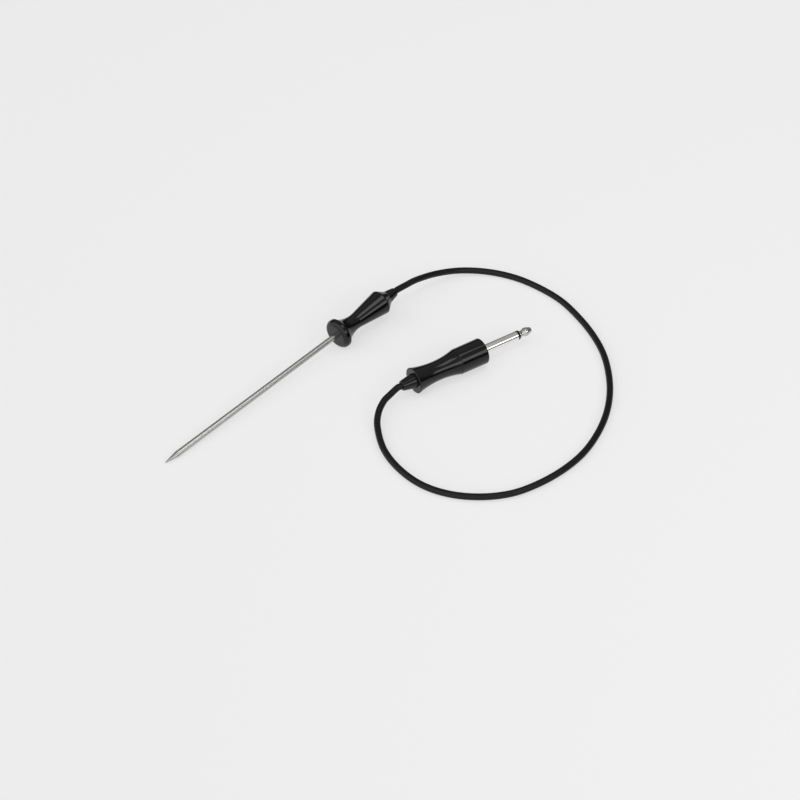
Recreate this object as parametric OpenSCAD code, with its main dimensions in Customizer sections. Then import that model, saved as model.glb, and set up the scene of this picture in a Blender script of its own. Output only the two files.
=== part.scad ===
// Oven temperature probe: a pointed stem with a thermistor in a moulded grip,
// a two-core cord, and a moulded plug body that carries a two-pole jack plug.
// Millimetres. The probe lies on z = 0 on its point and its finger guard, with
// the stem along -X, and the plug lies beside it on the two ends of its body.

/* [Stem] */
// Outer diameter of the stem tube
stem_d = 4; // [3.6:0.1:5]
// Wall of the stem tube
stem_wall = 0.4; // [0.3:0.05:0.5]
// Length of the stem in front of the grip, point included
stem_len = 151.2; // [100:0.1:250]
// Length of the stem tube inside the grip
stem_tail = 19; // [15:0.5:22]
// Length of the sharpened point
point_len = 9.5; // [6:0.5:14]
// Radius of the very tip of the point
point_r = 0.3; // [0.2:0.05:0.6]
// Length of the point's spigot inside the tube
spigot_len = 3; // [2:0.5:5]

/* [Sensor] */
// Diameter of the thermistor's glass bead
bead_d = 1.8; // [1.2:0.1:2]
// Length of the glass bead
bead_len = 3.2; // [2.4:0.1:4]
// Diameter of a thermistor lead
lead_d = 0.3; // [0.2:0.05:0.35]
// Distance between the leads where they leave the bead
lead_pitch = 0.7; // [0.5:0.05:0.8]
// How far the leads reach into the bead
lead_root = 1.6; // [1:0.1:2]
// Bare length of the leads between bead and crimps
lead_len = 6; // [5:0.5:10]
// Thickness of the filler in front of the bead and behind it
filler_cover = 1.2; // [0.8:0.1:2]

/* [Stem wiring] */
// Diameter of a stem wire over its insulation
wire_d = 1; // [0.8:0.05:1.05]
// Diameter of a stem wire's bare conductor
strand_d = 0.5; // [0.4:0.05:0.55]
// Outer diameter of a lead crimp
crimp_d = 0.9; // [0.8:0.05:0.95]
// Length of a lead crimp
crimp_len = 4; // [3.6:0.1:6]
// How far a wire reaches into its crimp from either end
insert_len = 1.6; // [1:0.1:1.8]
// Wall of the insulating sleeve over a lead crimp
sleeve_wall = 0.1; // [0.05:0.01:0.12]
// How far an insulating sleeve reaches past its crimp
sleeve_lap = 1.6; // [1:0.1:2]

/* [Grip] */
// Diameter of the finger guard
guard_d = 21; // [18:0.1:26]
// Thickness of the finger guard
guard_t = 5.2; // [4.4:0.1:6]
// Edge radius of the finger guard's front
guard_front_edge = 3.2; // [1:0.1:3.8]
// Edge radius of the finger guard's back
guard_edge = 1; // [0.5:0.1:1.2]
// Diameter of the waist
waist_d = 10.6; // [10:0.1:12]
// Distance from the front face to the waist
waist_at = 18; // [15:0.1:21]
// Diameter of the shoulder
shoulder_d = 17.4; // [15:0.1:20]
// Distance from the front face to the shoulder
shoulder_at = 43; // [41:0.1:50]
// Edge radius of the shoulder
shoulder_edge = 1.4; // [0.8:0.1:2]
// Diameter of the small end behind the shoulder
tail_d = 9.9; // [9.4:0.1:11]
// Edge radius of the small end
tail_edge = 0.2; // [0.1:0.05:0.4]
// Distance from the shoulder to the small end
tail_len = 5.8; // [4:0.1:8]

/* [Inside the grip] */
// Thickness of the grip's front wall, as far as the collar's seat
front_wall = 5; // [4.5:0.1:6]
// Diameter of the collar on the stem
collar_d = 6.4; // [6:0.1:6.6]
// Length of the collar
collar_len = 6; // [4:0.5:7]
// Depth of the collar's two grooves
collar_groove = 0.4; // [0.2:0.05:0.6]
// Thickness of the seal ring round the stem
seal_d = 1.6; // [1.2:0.1:1.8]
// Distance from the front face to the seal's groove
seal_at = 1.6; // [1.2:0.1:2]
// Length of the resin behind the collar
potting_len = 12; // [9:0.5:12]
// Diameter of the bore that takes the boot and the splices
rear_bore_d = 8.4; // [8:0.1:8.6]
// Distance from the front face to that bore
rear_bore_at = 24; // [23:0.5:26]

/* [Splices] */
// Outer diameter of a splice crimp
splice_d = 1.5; // [1.3:0.05:1.6]
// Length of a splice crimp
splice_len = 5; // [4:0.5:6]
// Wall of the heat-shrink sleeve over a splice
shrink_wall = 0.3; // [0.2:0.05:0.4]
// How far a heat-shrink sleeve reaches past its crimp
shrink_lap = 1.5; // [1:0.1:1.8]
// Free length of wire before the splices
splay_len = 3.5; // [3:0.1:4]

/* [Cord] */
// Diameter of the cord
cord_d = 4.4; // [4:0.1:4.8]
// Diameter of one of the cord's two cores over its insulation
core_d = 1.4; // [1.2:0.05:1.6]
// Diameter of a core's bare conductor
core_strand_d = 0.8; // [0.6:0.05:0.9]
// Length of a ferrule on the cord
ferrule_len = 3; // [2:0.5:4]
// Wall of a ferrule
ferrule_wall = 0.7; // [0.5:0.1:0.9]
// Depth of the groove crimped round a ferrule
ferrule_groove = 0.25; // [0.1:0.05:0.3]
// Length of jacket that shows past a ferrule
jacket_end = 1; // [0.5:0.1:1.5]

/* [Boots] */
// Length of the grip's boot behind the grip
grip_boot_len = 8; // [6:0.1:12]
// Diameter of the grip's boot at the grip
grip_boot_d = 9.4; // [8.4:0.1:9.8]
// Diameter of the grip's boot at its cord end
grip_boot_end_d = 6.2; // [5.3:0.1:7]
// Length of the plug's boot behind the plug body
plug_boot_len = 9.3; // [6:0.1:12]
// Diameter of the plug's boot at the plug body
plug_boot_d = 10.4; // [9:0.1:11]
// Diameter of the plug's boot at its cord end
plug_boot_end_d = 6.7; // [6:0.1:7]
// Edge radius of a boot's cord end
boot_edge = 0.7; // [0.3:0.1:0.9]
// Length of a boot's root inside its housing
boot_root = 4; // [3:0.1:4.5]
// Height of the lip in the housing that holds the root
lip_h = 0.8; // [0.4:0.1:1.2]
// Thickness of that lip
lip_t = 1.5; // [1:0.1:2]

/* [Plug body] */
// Diameter of the rims at both ends of the plug body
body_d = 18; // [17.7:0.1:20]
// Length of the plug body
body_len = 54; // [50:0.1:60]
// Diameter of the plug body's waist
body_waist_d = 13.3; // [12.2:0.1:15]
// Distance from the cord end to the waist
body_waist_at = 18; // [15:0.1:20]
// Diameter at the start of the straight barrel
barrel_d = 17.7; // [16:0.1:17.7]
// Distance from the cord end to the straight barrel
barrel_at = 34; // [30:0.1:36]
// Edge radius of the jack end
barrel_edge = 0.8; // [0.4:0.1:1.2]
// Edge radius of the cord end
body_edge = 0.4; // [0.2:0.1:0.8]
// Diameter of the chamber inside the plug body
chamber_d = 9.4; // [9.2:0.1:10]

/* [Jack] */
// Diameter of the sleeve contact
jack_d = 6.35; // [6.3:0.01:6.4]
// Length of the sleeve contact in front of the plug body
jack_len = 27.6; // [25:0.1:36]
// Bore of the sleeve contact
jack_bore = 4.2; // [4:0.1:4.6]
// Diameter of the sleeve's collar
jack_collar_d = 10; // [9.6:0.1:11]
// Thickness of the sleeve's collar
jack_collar_t = 2.2; // [1.6:0.1:3]
// Edge radius of the sleeve's collar
jack_collar_edge = 0.3; // [0.1:0.05:0.5]
// How far the collar stands proud of the plug body
jack_collar_proud = 0.6; // [0.3:0.1:1]
// Diameter of the ribbed root inside the plug body
jack_root_d = 9; // [8.4:0.1:9.4]
// Length of the ribbed root
jack_root_len = 12; // [10:0.5:14]
// Number of grooves between the ribs on the root
rib_grooves = 5; // [3:1:7]
// Height of the ribs on the root
rib_h = 0.5; // [0.3:0.05:0.8]
// Thickness of the black ring behind the tip
ring_t = 1.6; // [1.2:0.1:2]
// Length of the tip in front of the ring
tip_len = 10.2; // [9.5:0.1:12]
// Diameter of the tip's collar, next to the ring
tip_collar_d = 5.6; // [5:0.1:5.8]
// Thickness of the tip's collar
tip_collar_t = 0.8; // [0.4:0.1:1]
// Diameter of the tip's neck
tip_neck_d = 4.3; // [3.8:0.1:4.6]
// Distance from the ring to the neck
tip_neck_at = 1.9; // [1.5:0.1:2.2]
// Length of the neck
tip_neck_len = 0.9; // [0.5:0.1:1.2]
// Diameter of the tip's ball
tip_ball_d = 6; // [5.8:0.05:6.2]
// Distance from the ring to the middle of the ball
tip_ball_at = 5.6; // [5.2:0.1:6.2]
// Length of the ball's straight belt
tip_belt = 1.4; // [0.8:0.1:1.8]
// Rounding on both sides of the belt
tip_belt_edge = 1.5; // [0.5:0.1:2]
// Diameter of the tip's nose
nose_d = 3.4; // [2.4:0.1:4]
// Rounding of the nose
nose_edge = 1.4; // [0.6:0.1:1.5]
// Diameter of the centre rod
rod_d = 2.4; // [2:0.1:2.6]
// Diameter of the rod's riveted head
rivet_d = 4; // [3.6:0.1:4.4]
// Thickness of the rod's riveted head
rivet_t = 0.8; // [0.6:0.1:1.2]
// Thickness of the washer behind the sleeve
washer_t = 1.5; // [1:0.1:2]
// Thickness of the solder tags
tag_t = 0.5; // [0.4:0.05:0.7]
// Width of the solder tags
tag_w = 2.4; // [2:0.1:3]
// Length of the tip's solder tag
tip_tag_len = 7; // [6:0.1:8]
// Length of the sleeve's solder tag
sleeve_tag_len = 10; // [9:0.1:12]
// Distance of the tags from the rivet and from the chamber's wall
tag_clear = 0.3; // [0.2:0.05:0.5]
// Diameter of a solder joint
solder_d = 1.6; // [1.2:0.1:2]
// Bare length of a core before its solder joint
bare_len = 2.5; // [2:0.1:4]

/* [Lay on the table] */
// Distance of the plug body's cord end from the middle of the probe
plug_x = 52.3; // [40:0.1:60]
// Distance of the plug body's cord end to the side of the probe
plug_y = -66.5; // [-80:0.1:-50]
// Turn of the plug about the vertical
plug_turn = -13.8; // [-30:0.1:0]

/* [Fits] */
// Radial clearance of a piece in its bore
fit_gap = 0.05; // [0.03:0.01:0.1]

/* [Hidden] */
$fn = 96;

// Radii that several pieces share
stem_r = stem_d / 2;
stem_bore_r = stem_r - stem_wall;
cord_r = cord_d / 2;
crimp_sleeve_r = wire_d / 2 + fit_gap + sleeve_wall;
wire_off = crimp_sleeve_r + fit_gap / 2;
shrink_r = max(core_d, splice_d) / 2 + fit_gap + shrink_wall;
splice_off = shrink_r + fit_gap / 2;
core_off = core_d / 2 + fit_gap / 2;
chamber_r = chamber_d / 2;
root_r = jack_root_d / 2;
root_core_r = root_r - rib_h;
rear_bore_r = rear_bore_d / 2;
front_bore_r = collar_d / 2 + fit_gap;

// Stations along the probe's axis, from the grip's front face to the cord
grip_len = shoulder_at + tail_len;
collar_end = front_wall + collar_len;
potting_end = collar_end + potting_len;
splice_at = potting_end + splay_len;
splice_end = splice_at + splice_len;
grip_boot_end = grip_len + grip_boot_len;
grip_ferrule_at = grip_len - boot_root - ferrule_len;
grip_jacket_at = grip_ferrule_at - jacket_end;

// Stations along the stem, in front of the face
point_base = point_len - stem_len;
spigot_end = point_base + spigot_len;
bead_at = spigot_end + filler_cover;
bead_end = bead_at + bead_len;
filler_end = bead_end + filler_cover;
crimp_at = bead_end + lead_len;
crimp_end = crimp_at + crimp_len;

// The probe's tilt: the rim where its point starts and the edge of its finger guard
// both touch z = 0
rest_span = guard_front_edge - point_base;
rest_drop = guard_d / 2 - guard_front_edge - stem_r;
tilt = atan(rest_drop / rest_span)
       + asin(guard_front_edge / norm([rest_span, rest_drop]));

// Where the probe stands: the middle of its box is the origin
grip_height = stem_r * cos(tilt) - point_base * sin(tilt);
grip_x = ((stem_len - point_r - grip_boot_end) * cos(tilt) + point_r
          - grip_boot_end_d / 2 * sin(tilt)) / 2;

// Stations along the plug's axis, from the body's cord end to the jack's tip
plug_ferrule_at = boot_root;
plug_jacket_at = boot_root + ferrule_len + jacket_end;
face_at = body_len;
collar_seat = face_at + jack_collar_proud - jack_collar_t;
root_at = collar_seat - jack_root_len;
ring_at = face_at + jack_len;
tip_at = ring_at + ring_t;
sleeve_tag_at = root_at - tag_t;
washer_at = sleeve_tag_at - washer_t;
tip_tag_at = washer_at - tag_t;
rivet_at = tip_tag_at - rivet_t;
plug_z = body_d / 2;

// Distances from the axis at which the tags run back to the solder joints
tip_tag_off = rivet_d / 2 + tag_clear;
sleeve_tag_off = chamber_r - tag_t - tag_clear;

// Points on the two axes
function on_axis(z) = [grip_x + z * cos(tilt), 0, grip_height + z * sin(tilt)];
function on_plug_axis(z) =
    [plug_x + z * cos(plug_turn), plug_y + z * sin(plug_turn), plug_z];

// Points of the cord between its two leads: x, y and height above the table
cord_lay = [
    [114, -0.9, 11.7], [124, -2, 11.2], [142, -3.7, 6.5], [160, -10, 2],
    [173.5, -23.5, 0.4], [182, -41, 0.1], [185.5, -60, 0.1], [185.5, -79.5, 0.1],
    [181, -98.5, 0.1], [174, -117, 0.1], [164.5, -134, 0.1], [152, -149, 0.1],
    [137.5, -162, 0.1], [121, -172.5, 0.1], [103, -180, 0.1], [84, -184.5, 0.1],
    [65, -185, 0.1], [45.5, -182, 0.1], [27, -175.5, 0.1], [11.5, -164, 0.1],
    [-0.5, -148.5, 0.1], [-7, -130.5, 0.1], [-7, -111, 0.1], [-1.5, -92, 0.2],
    [9, -76, 1.2], [17.5, -68.5, 3.3], [26, -64.8, 5.1], [33, -63.9, 5.9]];

// Straight length of cord in front of each boot
cord_lead = 3;
cord_route = concat(
    [for (z = [grip_jacket_at, (grip_jacket_at + grip_boot_end) / 2, grip_boot_end,
               grip_boot_end + cord_lead]) on_axis(z)],
    [for (p = cord_lay) p + [0, 0, cord_r]],
    [for (z = [-plug_boot_len - cord_lead, -plug_boot_len,
               (plug_jacket_at - plug_boot_len) / 2, plug_jacket_at]) on_plug_axis(z)]);

// Steps of the cord's curve from one point to the next, and sides of the swept rods
steps = 2;
cord_sides = 12;
wire_sides = 8;

// Directions that the cord and the wires never run along
upward = [0, 0, 1];
across = [1, 0, 0];

// ---- Placing -----------------------------------------------------------------

// Along the probe's axis: z = 0 is the grip's front face, +z runs to the cord
module on_probe() {
    translate([grip_x, 0, grip_height]) rotate([0, 90 - tilt, 0]) children();
}

// Along the plug's axis: z = 0 is the body's cord end, +z runs to the jack's tip
module on_plug() {
    translate([plug_x, plug_y, plug_z]) rotate([0, 0, plug_turn]) rotate([0, 90, 0])
        children();
}

// Both of a pair of wires, at the same distance on either side of the axis
module pair(off) {
    for (side = [-1, 1]) translate([0, side * off, 0]) children();
}

// ---- Shapes ------------------------------------------------------------------

module rod(r, from, to) {
    translate([0, 0, from]) cylinder(r = r, h = to - from);
}

module tube(r_out, r_in, from, to) {
    difference() {
        rod(r_out, from, to);
        rod(r_in, from - 1, to + 1);
    }
}

function unit(v) = v / norm(v);
function half_angle(a, p, b) = acos(unit(a - p) * unit(b - p)) / 2;

// A closed outline whose convex corners are rounded, each by its own radius
module outline(points, radii) {
    n = len(points);
    before = [for (i = [0:n - 1]) points[(i + n - 1) % n]];
    after = [for (i = [0:n - 1]) points[(i + 1) % n]];
    polygon([for (i = [0:n - 1])
        let (p = points[i], cut = radii[i] / tan(half_angle(before[i], p, after[i])))
        each radii[i] == 0 ? [p]
             : [p + unit(before[i] - p) * cut, p + unit(after[i] - p) * cut]]);
    for (i = [0:n - 1]) if (radii[i] > 0) {
        p = points[i];
        into = unit(unit(before[i] - p) + unit(after[i] - p));
        translate(p + into * radii[i] / sin(half_angle(before[i], p, after[i])))
            circle(r = radii[i]);
    }
}

// Radius of the arc that touches the waist and passes through a point on the rim
function waist_arc(dz, dr) = (dz * dz + dr * dr) / (2 * dr);

// Where a line from point p touches the circle round c, on the side asked for
function touching(p, c, r, side) =
    let (turn = atan2(p[1] - c[1], p[0] - c[0]) + side * acos(r / norm(p - c)))
    c + r * [cos(turn), sin(turn)];

// A smooth curve through the points, with the two ends run straight
function ghost(p) = concat([2 * p[0] - p[1]], p, [2 * p[len(p) - 1] - p[len(p) - 2]]);
function curve_at(g, i, t) =
    0.5 * (2 * g[i + 1] + (g[i + 2] - g[i]) * t
           + (2 * g[i] - 5 * g[i + 1] + 4 * g[i + 2] - g[i + 3]) * t * t
           + (3 * g[i + 1] - g[i] - 3 * g[i + 2] + g[i + 3]) * t * t * t);
function curve(p, n) = let (g = ghost(p)) concat(
    [for (i = [0:len(p) - 2]) for (k = [0:n - 1]) curve_at(g, i, k / n)],
    [p[len(p) - 1]]);

// A round rod swept along a path, as one closed solid; no part of the path runs along side
function heading(path, i) =
    unit(path[min(i + 1, len(path) - 1)] - path[max(i - 1, 0)]);
function ring(path, i, r, sides, side) =
    let (t = heading(path, i), u = unit(cross(side, t)), v = cross(t, u))
    [for (k = [0:sides - 1])
        path[i] + r * (cos(360 * k / sides) * u + sin(360 * k / sides) * v)];
module swept(path, r, sides, side) {
    n = len(path);
    polyhedron(
        points = [for (i = [0:n - 1]) each ring(path, i, r, sides, side)],
        faces = concat(
            [[for (k = [0:sides - 1]) k]],
            [for (i = [0:n - 2]) for (k = [0:sides - 1])
                let (a = i * sides, b = a + sides, j = (k + 1) % sides)
                each [[a + k, b + k, a + j], [a + j, b + k, b + j]]],
            [[for (k = [sides - 1:-1:0]) (n - 1) * sides + k]]));
}

// The path of a wire that moves from one distance from the axis to another, straight
// for a lead at both ends
function splayed(side, off_a, z_a, off_b, z_b, lead) =
    [[0, side * off_a, z_a], [0, side * off_a, z_a + lead],
     [0, side * off_b, z_b - lead], [0, side * off_b, z_b]];

// ---- The stem and its sensor ---------------------------------------------------

module stem_tube() {
    color("silver") on_probe() tube(stem_r, stem_bore_r, point_base, stem_tail);
}

module stem_point() {
    color("gainsboro") on_probe() {
        rotate_extrude() translate([0, -stem_len]) intersection() {
            union() {
                translate([0, point_r]) circle(r = point_r);
                polygon([[0, point_r], touching([stem_r, point_len], [0, point_r], point_r, -1),
                         [stem_r, point_len], [0, point_len]]);
            }
            square([stem_r, point_len]);
        }
        rod(stem_bore_r - fit_gap, point_base, spigot_end);
    }
}

module bead_shape(grow) {
    rotate_extrude() intersection() {
        translate([0, bead_at - grow]) outline(
            [[0, 0], [bead_d / 2 + grow, 0], [bead_d / 2 + grow, bead_len + 2 * grow],
             [0, bead_len + 2 * grow]],
            [0, bead_d / 3, bead_d / 3, 0]);
        translate([0, bead_at - bead_len]) square([bead_d, 3 * bead_len]);
    }
}

module thermistor_bead() {
    color("darkseagreen") on_probe() difference() {
        bead_shape(0);
        pair(lead_pitch / 2) rod(lead_d / 2 + fit_gap, bead_end - lead_root, bead_end + 1);
    }
}

module thermistor_leads() {
    color("lightgray") on_probe() for (side = [-1, 1])
        swept([[0, side * lead_pitch / 2, bead_end - lead_root],
               [0, side * lead_pitch / 2, filler_end + fit_gap],
               [0, side * wire_off, crimp_at - fit_gap],
               [0, side * wire_off, crimp_at + insert_len]], lead_d / 2, wire_sides, across);
}

module tip_filler() {
    color("wheat") on_probe() difference() {
        rod(stem_bore_r - fit_gap, spigot_end, filler_end);
        bead_shape(fit_gap);
        pair(lead_pitch / 2) rod(lead_d / 2 + fit_gap, bead_end - lead_root, filler_end + 1);
    }
}

module lead_crimps() {
    color("goldenrod") on_probe() pair(wire_off)
        tube(crimp_d / 2, strand_d / 2 + fit_gap, crimp_at, crimp_end);
}

module crimp_sleeves() {
    color("orange") on_probe() pair(wire_off)
        tube(crimp_sleeve_r, crimp_sleeve_r - sleeve_wall,
             crimp_at - sleeve_lap, crimp_end + sleeve_lap);
}

module stem_wires() {
    color("white") on_probe() {
        pair(wire_off) rod(strand_d / 2, crimp_end - insert_len, crimp_end);
        for (side = [-1, 1])
            swept(concat([[0, side * wire_off, crimp_end]],
                         splayed(side, wire_off, potting_end, splice_off, splice_at,
                                 wire_d / 2)), wire_d / 2, wire_sides, across);
        pair(splice_off) rod(strand_d / 2, splice_at, splice_at + insert_len);
    }
}

// ---- The grip -------------------------------------------------------------------

module stem_collar() {
    color("darkgoldenrod") on_probe() difference() {
        tube(collar_d / 2, stem_r + fit_gap / 2, front_wall, collar_end);
        for (part = [1, 3]) translate([0, 0, front_wall + collar_len * part / 5])
            tube(collar_d, collar_d / 2 - collar_groove, 0, collar_len / 5);
    }
}

module stem_seal() {
    color("firebrick") on_probe() translate([0, 0, seal_at + seal_d / 2])
        rotate_extrude() translate([stem_r + seal_d / 2 + fit_gap / 2, 0])
            circle(d = seal_d);
}

// Half outline of the grip: guard, waist, cone, shoulder and small end
module grip_outline() {
    neck_r = guard_d / 2 - guard_edge;
    arc_r = waist_arc(waist_at - guard_t, neck_r - waist_d / 2);
    arc_c = [waist_d / 2 + arc_r, waist_at];
    shoulder = [shoulder_d / 2, shoulder_at];
    touch = touching(shoulder, arc_c, arc_r, 1);
    outline([[0, 0], [guard_d / 2, 0], [guard_d / 2, guard_t], [0, guard_t]],
            [0, guard_front_edge, guard_edge, 0]);
    difference() {
        outline([[0, guard_t / 2], [neck_r, guard_t / 2], [neck_r, guard_t], touch, shoulder,
                 [tail_d / 2, grip_len], [0, grip_len]],
                [0, 0, 0, 0, shoulder_edge, tail_edge, 0]);
        translate(arc_c) circle(r = arc_r, $fn = 240);
    }
}

module grip() {
    color([0.06, 0.06, 0.065]) on_probe() difference() {
        rotate_extrude() intersection() {
            grip_outline();
            square([guard_d, 2 * grip_len]);
        }
        rod(stem_r + fit_gap, -1, front_wall + 1);
        rod(stem_r + seal_d + fit_gap, seal_at, seal_at + seal_d);
        rod(front_bore_r, front_wall, rear_bore_at + 1);
        rod(rear_bore_r, rear_bore_at, grip_len - lip_t);
        rod(rear_bore_r - lip_h, rear_bore_at, grip_len + 1);
    }
}

module grip_potting() {
    color("burlywood") on_probe() difference() {
        rod(collar_d / 2, collar_end, potting_end);
        rod(stem_r + fit_gap, collar_end - 1, stem_tail + fit_gap);
        pair(wire_off) rod(wire_d / 2 + fit_gap, stem_tail, potting_end + 1);
    }
}

// ---- Splices, ferrules and boots --------------------------------------------------

module splice_crimps() {
    color("goldenrod") on_probe() pair(splice_off)
        tube(splice_d / 2, core_strand_d / 2 + fit_gap, splice_at, splice_end);
}

module splice_sleeves() {
    color("crimson") on_probe() pair(splice_off)
        tube(shrink_r, shrink_r - shrink_wall, splice_at - shrink_lap,
             splice_end + shrink_lap);
}

module grip_cores() {
    color("ivory") on_probe() {
        pair(splice_off) rod(core_strand_d / 2, splice_end - insert_len, splice_end);
        for (side = [-1, 1])
            swept(concat([[0, side * splice_off, splice_end]],
                         splayed(side, splice_off, splice_end + shrink_lap, core_off,
                                 grip_jacket_at, core_d / 2)),
                  core_d / 2, wire_sides, across);
    }
}

// A ferrule on the cord, crimped in the middle
module ferrule(at) {
    groove_r = 1;
    rotate_extrude() difference() {
        translate([cord_r + fit_gap, at]) square([ferrule_wall, ferrule_len]);
        translate([cord_r + fit_gap + ferrule_wall + groove_r - ferrule_groove,
                   at + ferrule_len / 2]) circle(r = groove_r);
    }
}

module grip_ferrule() {
    color("silver") on_probe() ferrule(grip_ferrule_at);
}

module plug_ferrule() {
    color("silver") on_plug() ferrule(plug_ferrule_at);
}

// A tapered strain relief: its root is at z < 0 in the housing, its taper at z > 0
module boot(base_d, end_d, length, bore_r) {
    rotate_extrude() difference() {
        union() {
            translate([0, -boot_root])
                square([bore_r - fit_gap, boot_root - lip_t - fit_gap]);
            translate([0, -boot_root])
                square([bore_r - lip_h - fit_gap, boot_root + length / 2]);
            outline([[0, 0], [base_d / 2, 0], [end_d / 2, length], [0, length]],
                    [0, 0, boot_edge, 0]);
        }
        translate([-base_d, -2 * boot_root])
            square([base_d + cord_r + fit_gap, 2 * (boot_root + length)]);
    }
}

module grip_boot() {
    color([0.08, 0.08, 0.085]) on_probe() translate([0, 0, grip_len])
        boot(grip_boot_d, grip_boot_end_d, grip_boot_len, rear_bore_r);
}

module plug_boot() {
    color([0.08, 0.08, 0.085]) on_plug() rotate([180, 0, 0])
        boot(plug_boot_d, plug_boot_end_d, plug_boot_len, chamber_r);
}

module cord() {
    color([0.1, 0.1, 0.105]) swept(curve(cord_route, steps), cord_r, cord_sides, upward);
}

// ---- The plug body and what it holds ----------------------------------------------

// Half outline of the plug body: trumpet, waist, trumpet and straight barrel
module body_outline() {
    rim = body_d / 2;
    waist = body_waist_d / 2;
    cord_arc = waist_arc(body_waist_at - body_edge, rim - waist);
    jack_arc = waist_arc(barrel_at - body_waist_at, barrel_d / 2 - waist);
    difference() {
        outline([[0, 0], [rim, 0], [rim, body_edge * 2], [barrel_d / 2, barrel_at],
                 [rim, body_len], [0, body_len]],
                [0, body_edge, 0, 0, barrel_edge, 0]);
        intersection() {
            translate([waist + cord_arc, body_waist_at]) circle(r = cord_arc, $fn = 360);
            square([2 * rim, body_waist_at]);
        }
        intersection() {
            translate([waist + jack_arc, body_waist_at]) circle(r = jack_arc, $fn = 360);
            translate([0, body_waist_at]) square([2 * rim, barrel_at - body_waist_at]);
        }
    }
}

module plug_body() {
    color([0.06, 0.06, 0.065]) on_plug() difference() {
        rotate_extrude() intersection() {
            body_outline();
            square([body_d, 2 * body_len]);
        }
        rod(chamber_r - lip_h, -1, lip_t + 1);
        rod(chamber_r, lip_t, root_at);
        rod(root_r + fit_gap, root_at - 1, collar_seat + 1);
        rod(jack_collar_d / 2 + fit_gap, collar_seat, body_len + 1);
    }
}

module jack_sleeve() {
    pitch = jack_root_len / (2 * rib_grooves + 1);
    color("silver") on_plug() difference() {
        union() {
            rod(root_core_r, root_at, collar_seat);
            for (i = [0:rib_grooves])
                rod(root_r, root_at + 2 * i * pitch, root_at + (2 * i + 1) * pitch);
            rotate_extrude() translate([0, collar_seat])
                outline([[0, 0], [jack_collar_d / 2, 0], [jack_collar_d / 2, jack_collar_t],
                         [0, jack_collar_t]], [0, 0, jack_collar_edge, 0]);
            rod(jack_d / 2, collar_seat, ring_at);
        }
        rod(jack_bore / 2, root_at - 1, ring_at + 1);
    }
}

module rod_insulator() {
    color("khaki") on_plug()
        tube(jack_bore / 2 - fit_gap, rod_d / 2 + fit_gap, root_at, ring_at);
}

module tip_insulator() {
    color([0.05, 0.05, 0.05]) on_plug()
        tube(jack_d / 2 - fit_gap / 2, rod_d / 2 + fit_gap, ring_at, tip_at);
}

// The tip with its collar, neck, ball and nose, in one piece with the rod and its
// riveted head
module jack_tip() {
    collar_r = tip_collar_d / 2;
    neck_r = tip_neck_d / 2;
    ball_r = tip_ball_d / 2;
    color("silver") on_plug() {
        rotate_extrude() translate([0, tip_at]) intersection() {
            outline([[0, 0], [collar_r, 0], [collar_r, tip_collar_t], [neck_r, tip_neck_at],
                     [neck_r, tip_neck_at + tip_neck_len],
                     [ball_r, tip_ball_at - tip_belt / 2],
                     [ball_r, tip_ball_at + tip_belt / 2],
                     [nose_d / 2, tip_len], [0, tip_len]],
                    [0, 0, 0.3, 0, 0, tip_belt_edge, tip_belt_edge, nose_edge, 0]);
            square([ball_r, tip_len]);
        }
        rod(rod_d / 2, rivet_at + rivet_t / 2, tip_at + tip_collar_t);
        rotate_extrude() translate([0, rivet_at])
            outline([[0, 0], [rivet_d / 2, 0], [rivet_d / 2, rivet_t], [0, rivet_t]],
                    [0, rivet_t / 2, 0, 0]);
    }
}

module rear_washer() {
    color("saddlebrown") on_plug()
        tube(root_core_r, rod_d / 2 + fit_gap, washer_at, sleeve_tag_at);
}

// A solder tag: a ring round the rod with an arm that runs back beside it
module tag(at, r_out, r_in, off, length) {
    difference() {
        union() {
            rod(r_out, at, at + tag_t);
            translate([-tag_w / 2, 0, at]) cube([tag_w, off + tag_t, tag_t]);
        }
        rod(r_in, at - 1, at + tag_t + 1);
    }
    translate([-tag_w / 2, off, at - length]) cube([tag_w, tag_t, length + tag_t]);
}

module tip_lug() {
    color("gold") on_plug()
        tag(tip_tag_at, rivet_d / 2, rod_d / 2 + fit_gap, tip_tag_off, tip_tag_len);
}

module sleeve_lug() {
    color("gold") on_plug() rotate([0, 0, 180])
        tag(sleeve_tag_at, root_core_r, jack_bore / 2 + fit_gap, sleeve_tag_off,
            sleeve_tag_len);
}

// Where the cores meet the inner faces of the tags: side, distance from the axis, station
tip_joint = [1, tip_tag_off, tip_tag_at - tip_tag_len + solder_d];
sleeve_joint = [-1, sleeve_tag_off, sleeve_tag_at - sleeve_tag_len + solder_d];

module plug_core(joint) {
    off = joint[1] - core_strand_d / 2;
    bare_at = joint[2] - bare_len;
    swept(splayed(joint[0], core_off, plug_jacket_at, off, bare_at, core_d), core_d / 2,
          wire_sides, across);
    translate([0, joint[0] * off, 0]) rod(core_strand_d / 2, bare_at, joint[2]);
}

module plug_cores() {
    color("ivory") on_plug() for (joint = [tip_joint, sleeve_joint]) plug_core(joint);
}

// Half a bead of solder on the inner face of each tag, at the end of the strand
module solder_joints() {
    color("lightgray") on_plug() for (joint = [tip_joint, sleeve_joint])
        translate([0, joint[0] * joint[1], joint[2] + solder_d / 2]) difference() {
            sphere(d = solder_d);
            translate([-solder_d, joint[0] > 0 ? 0 : -2 * solder_d, -solder_d])
                cube(2 * solder_d);
        }
}

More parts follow.
